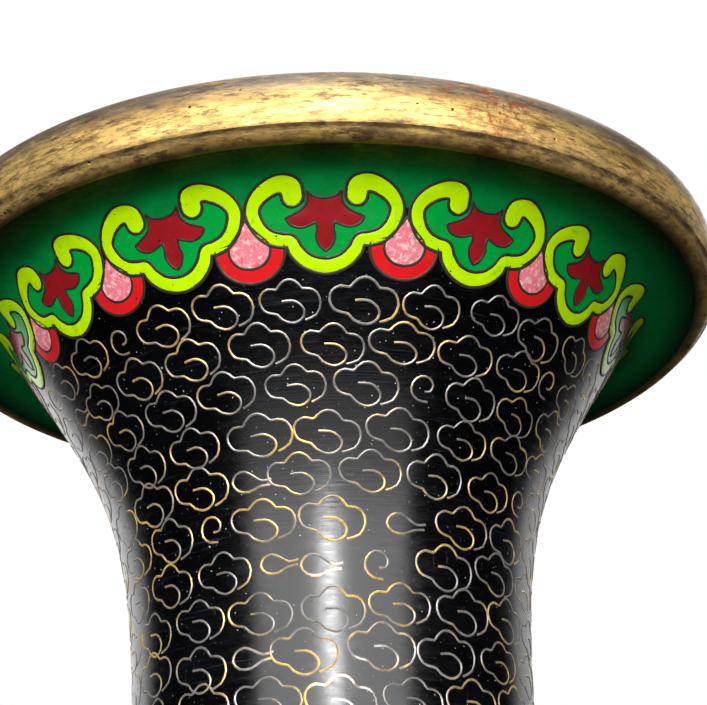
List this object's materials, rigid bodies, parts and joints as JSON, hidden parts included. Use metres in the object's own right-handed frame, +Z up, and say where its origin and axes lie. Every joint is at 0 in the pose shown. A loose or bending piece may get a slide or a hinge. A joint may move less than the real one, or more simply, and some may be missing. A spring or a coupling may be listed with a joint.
{
  "type": "cloisonne vase",
  "caption": "Tall round vase with a trumpet mouth, brass rim and foot ring, and copper walls covered in wire cells of coloured enamel.",
  "frame": {"origin": "centre of the foot ring on the resting plane", "axes": "+Z up the axis of the vase; a head of the neck border faces -Y"},
  "size_m": [0.124, 0.124, 0.255],
  "materials": {
    "copper": "oxidised copper sheet, satin",
    "brass": "aged gilt brass, worn, with brown oxidation",
    "wire": "thin gilt wire, ground flush, tarnished",
    "green_enamel": "glossy emerald enamel with fine pits",
    "black_enamel": "polished black enamel with fine scratches and pits",
    "lime_enamel": "polished yellow-green enamel",
    "leaf_green_enamel": "polished mid green enamel",
    "dark_red_enamel": "polished dark red enamel",
    "pink_enamel": "mottled pink enamel",
    "red_enamel": "polished bright red enamel",
    "lining_enamel": "plain turquoise counter-enamel, slightly uneven"
  },
  "bodies": {
    "root": {"neck_shell": "copper", "shoulder_shell": "copper", "belly_shell": "copper", "foot_shell": "copper", "base_plate": "copper", "mouth_rim": "brass", "foot_ring": "brass", "band_wires": "wire", "collar_enamel": "green_enamel", "neck_enamel": "black_enamel", "neck_band_enamel": "green_enamel", "shoulder_collar_enamel": "green_enamel", "body_enamel": "black_enamel", "lappet_ground_enamel": "black_enamel", "foot_enamel": "green_enamel", "neck_head_borders": "lime_enamel", "neck_head_fills": "leaf_green_enamel", "neck_head_leaves": "dark_red_enamel", "neck_head_wires": "wire", "pink_beads": "pink_enamel", "red_crescents": "red_enamel", "shoulder_head_borders": "lime_enamel", "shoulder_head_fills": "leaf_green_enamel", "lappet_borders": "lime_enamel", "lappet_fills": "dark_red_enamel", "neck_lining": "lining_enamel", "body_lining": "lining_enamel", "floor_lining": "lining_enamel", "base_counter_enamel": "lining_enamel"}
  },
  "joints": []
}
